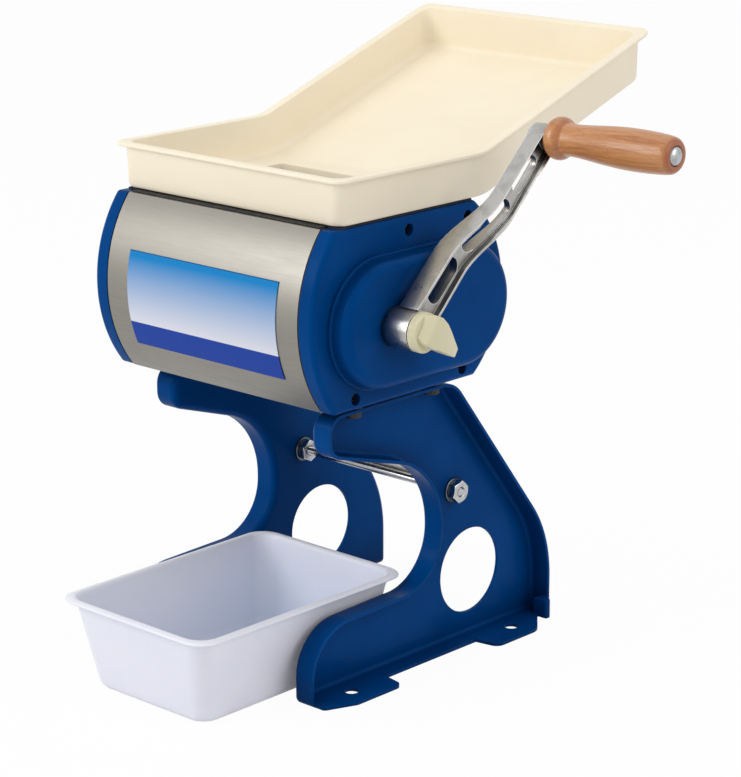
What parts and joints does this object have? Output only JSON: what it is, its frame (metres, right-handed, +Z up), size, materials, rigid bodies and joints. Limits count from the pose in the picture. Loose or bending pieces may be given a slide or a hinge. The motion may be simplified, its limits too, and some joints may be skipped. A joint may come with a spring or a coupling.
{
  "type": "jerky slicer with crank",
  "caption": "Hand-cranked jerky slicer: two blade shafts geared to a crank in a drum housing on two legs, with a feed tray on top and a catch box between the legs.",
  "frame": {"origin": "middle of the four base holes, on the surface that the slicer stands on", "axes": "+X to the crank's side along the shafts, +Y to the back, +Z up"},
  "size_m": [0.3297, 0.3798, 0.3791],
  "materials": {
    "blue_enamel": "glossy royal blue stoving enamel",
    "rod_chrome": "chromed threaded rod",
    "bright_steel": "bright zinc-plated steel",
    "cast_body": "machined cast aluminium",
    "stainless": "fine-brushed stainless steel",
    "black_seal": "black gasket",
    "bronze": "sintered bronze",
    "label_film": "printed film, sky blue to white with a blue band, no text",
    "shaft_steel": "turned steel",
    "blade_steel": "ground stainless steel",
    "comb_plastic": "white food-grade plastic",
    "gear_steel": "greased steel",
    "polished_arm": "polished die-cast aluminium",
    "knob_plastic": "cream moulded plastic",
    "grip_wood": "varnished hardwood",
    "cream_plastic": "cream moulded plastic, satin",
    "box_plastic": "pale moulded plastic"
  },
  "bodies": {
    "frame": {"right_leg": "blue_enamel", "left_leg": "blue_enamel", "tie_rod": "rod_chrome", "tie_rod_washers": "bright_steel", "tie_rod_nuts": "bright_steel", "leg_bolts": "bright_steel", "leg_spacers": "bright_steel", "right_side_plate": "cast_body", "left_side_plate": "cast_body", "front_wrap": "stainless", "rear_wrap": "stainless", "right_seam": "black_seal", "left_seam": "black_seal", "right_cover": "blue_enamel", "left_cover": "blue_enamel", "right_cover_screws": "bright_steel", "left_cover_screws": "bright_steel", "shaft_bushings": "bronze", "label_plate": "label_film", "rear_deflector": "stainless", "front_comb": "comb_plastic", "rear_comb": "comb_plastic", "tray_gasket": "black_seal"},
    "crank": {"front_shaft": "shaft_steel", "front_blades": "blade_steel", "front_spacers": "stainless", "drive_gear": "gear_steel", "front_clip": "bright_steel", "crank_arm": "polished_arm", "handle_bolt": "bright_steel", "handle_nut": "bright_steel"},
    "rear_rotor": {"rear_shaft": "shaft_steel", "rear_blades": "blade_steel", "rear_spacers": "stainless", "driven_gear": "gear_steel", "rear_clip": "bright_steel"},
    "grip": {"handle_grip": "grip_wood"},
    "knob": {"wing_knob": "knob_plastic"},
    "tray": {"hopper_tray": "cream_plastic"},
    "box": {"catch_box": "box_plastic"}
  },
  "joints": [
    {"name": "crank_turn", "type": "hinge", "parent": "frame", "child": "crank", "pos_m": [0, -0.0638, 0.2334], "axis": [1, 0, 0], "continuous": true},
    {"name": "rear_shaft_turn", "type": "hinge", "parent": "frame", "child": "rear_rotor", "pos_m": [0, 0.0022, 0.2334], "axis": [1, 0, 0], "continuous": true},
    {"name": "grip_spin", "type": "hinge", "parent": "crank", "child": "grip", "pos_m": [0.18, 0.03966, 0.33471], "axis": [1, 0, 0], "continuous": true},
    {"name": "knob_turn", "type": "hinge", "parent": "crank", "child": "knob", "pos_m": [0.13, -0.0638, 0.2334], "axis": [1, 0, 0], "continuous": true},
    {"name": "tray_lift", "type": "slide", "parent": "frame", "child": "tray", "axis": [0, 0, 1], "range_m": [0, 0.06]},
    {"name": "box_pull", "type": "slide", "parent": "frame", "child": "box", "axis": [0, -1, 0], "range_m": [0, 0.2]}
  ],
  "couplings": [
    {"joint": "rear_shaft_turn", "follows": "crank_turn", "ratio": -1}
  ]
}
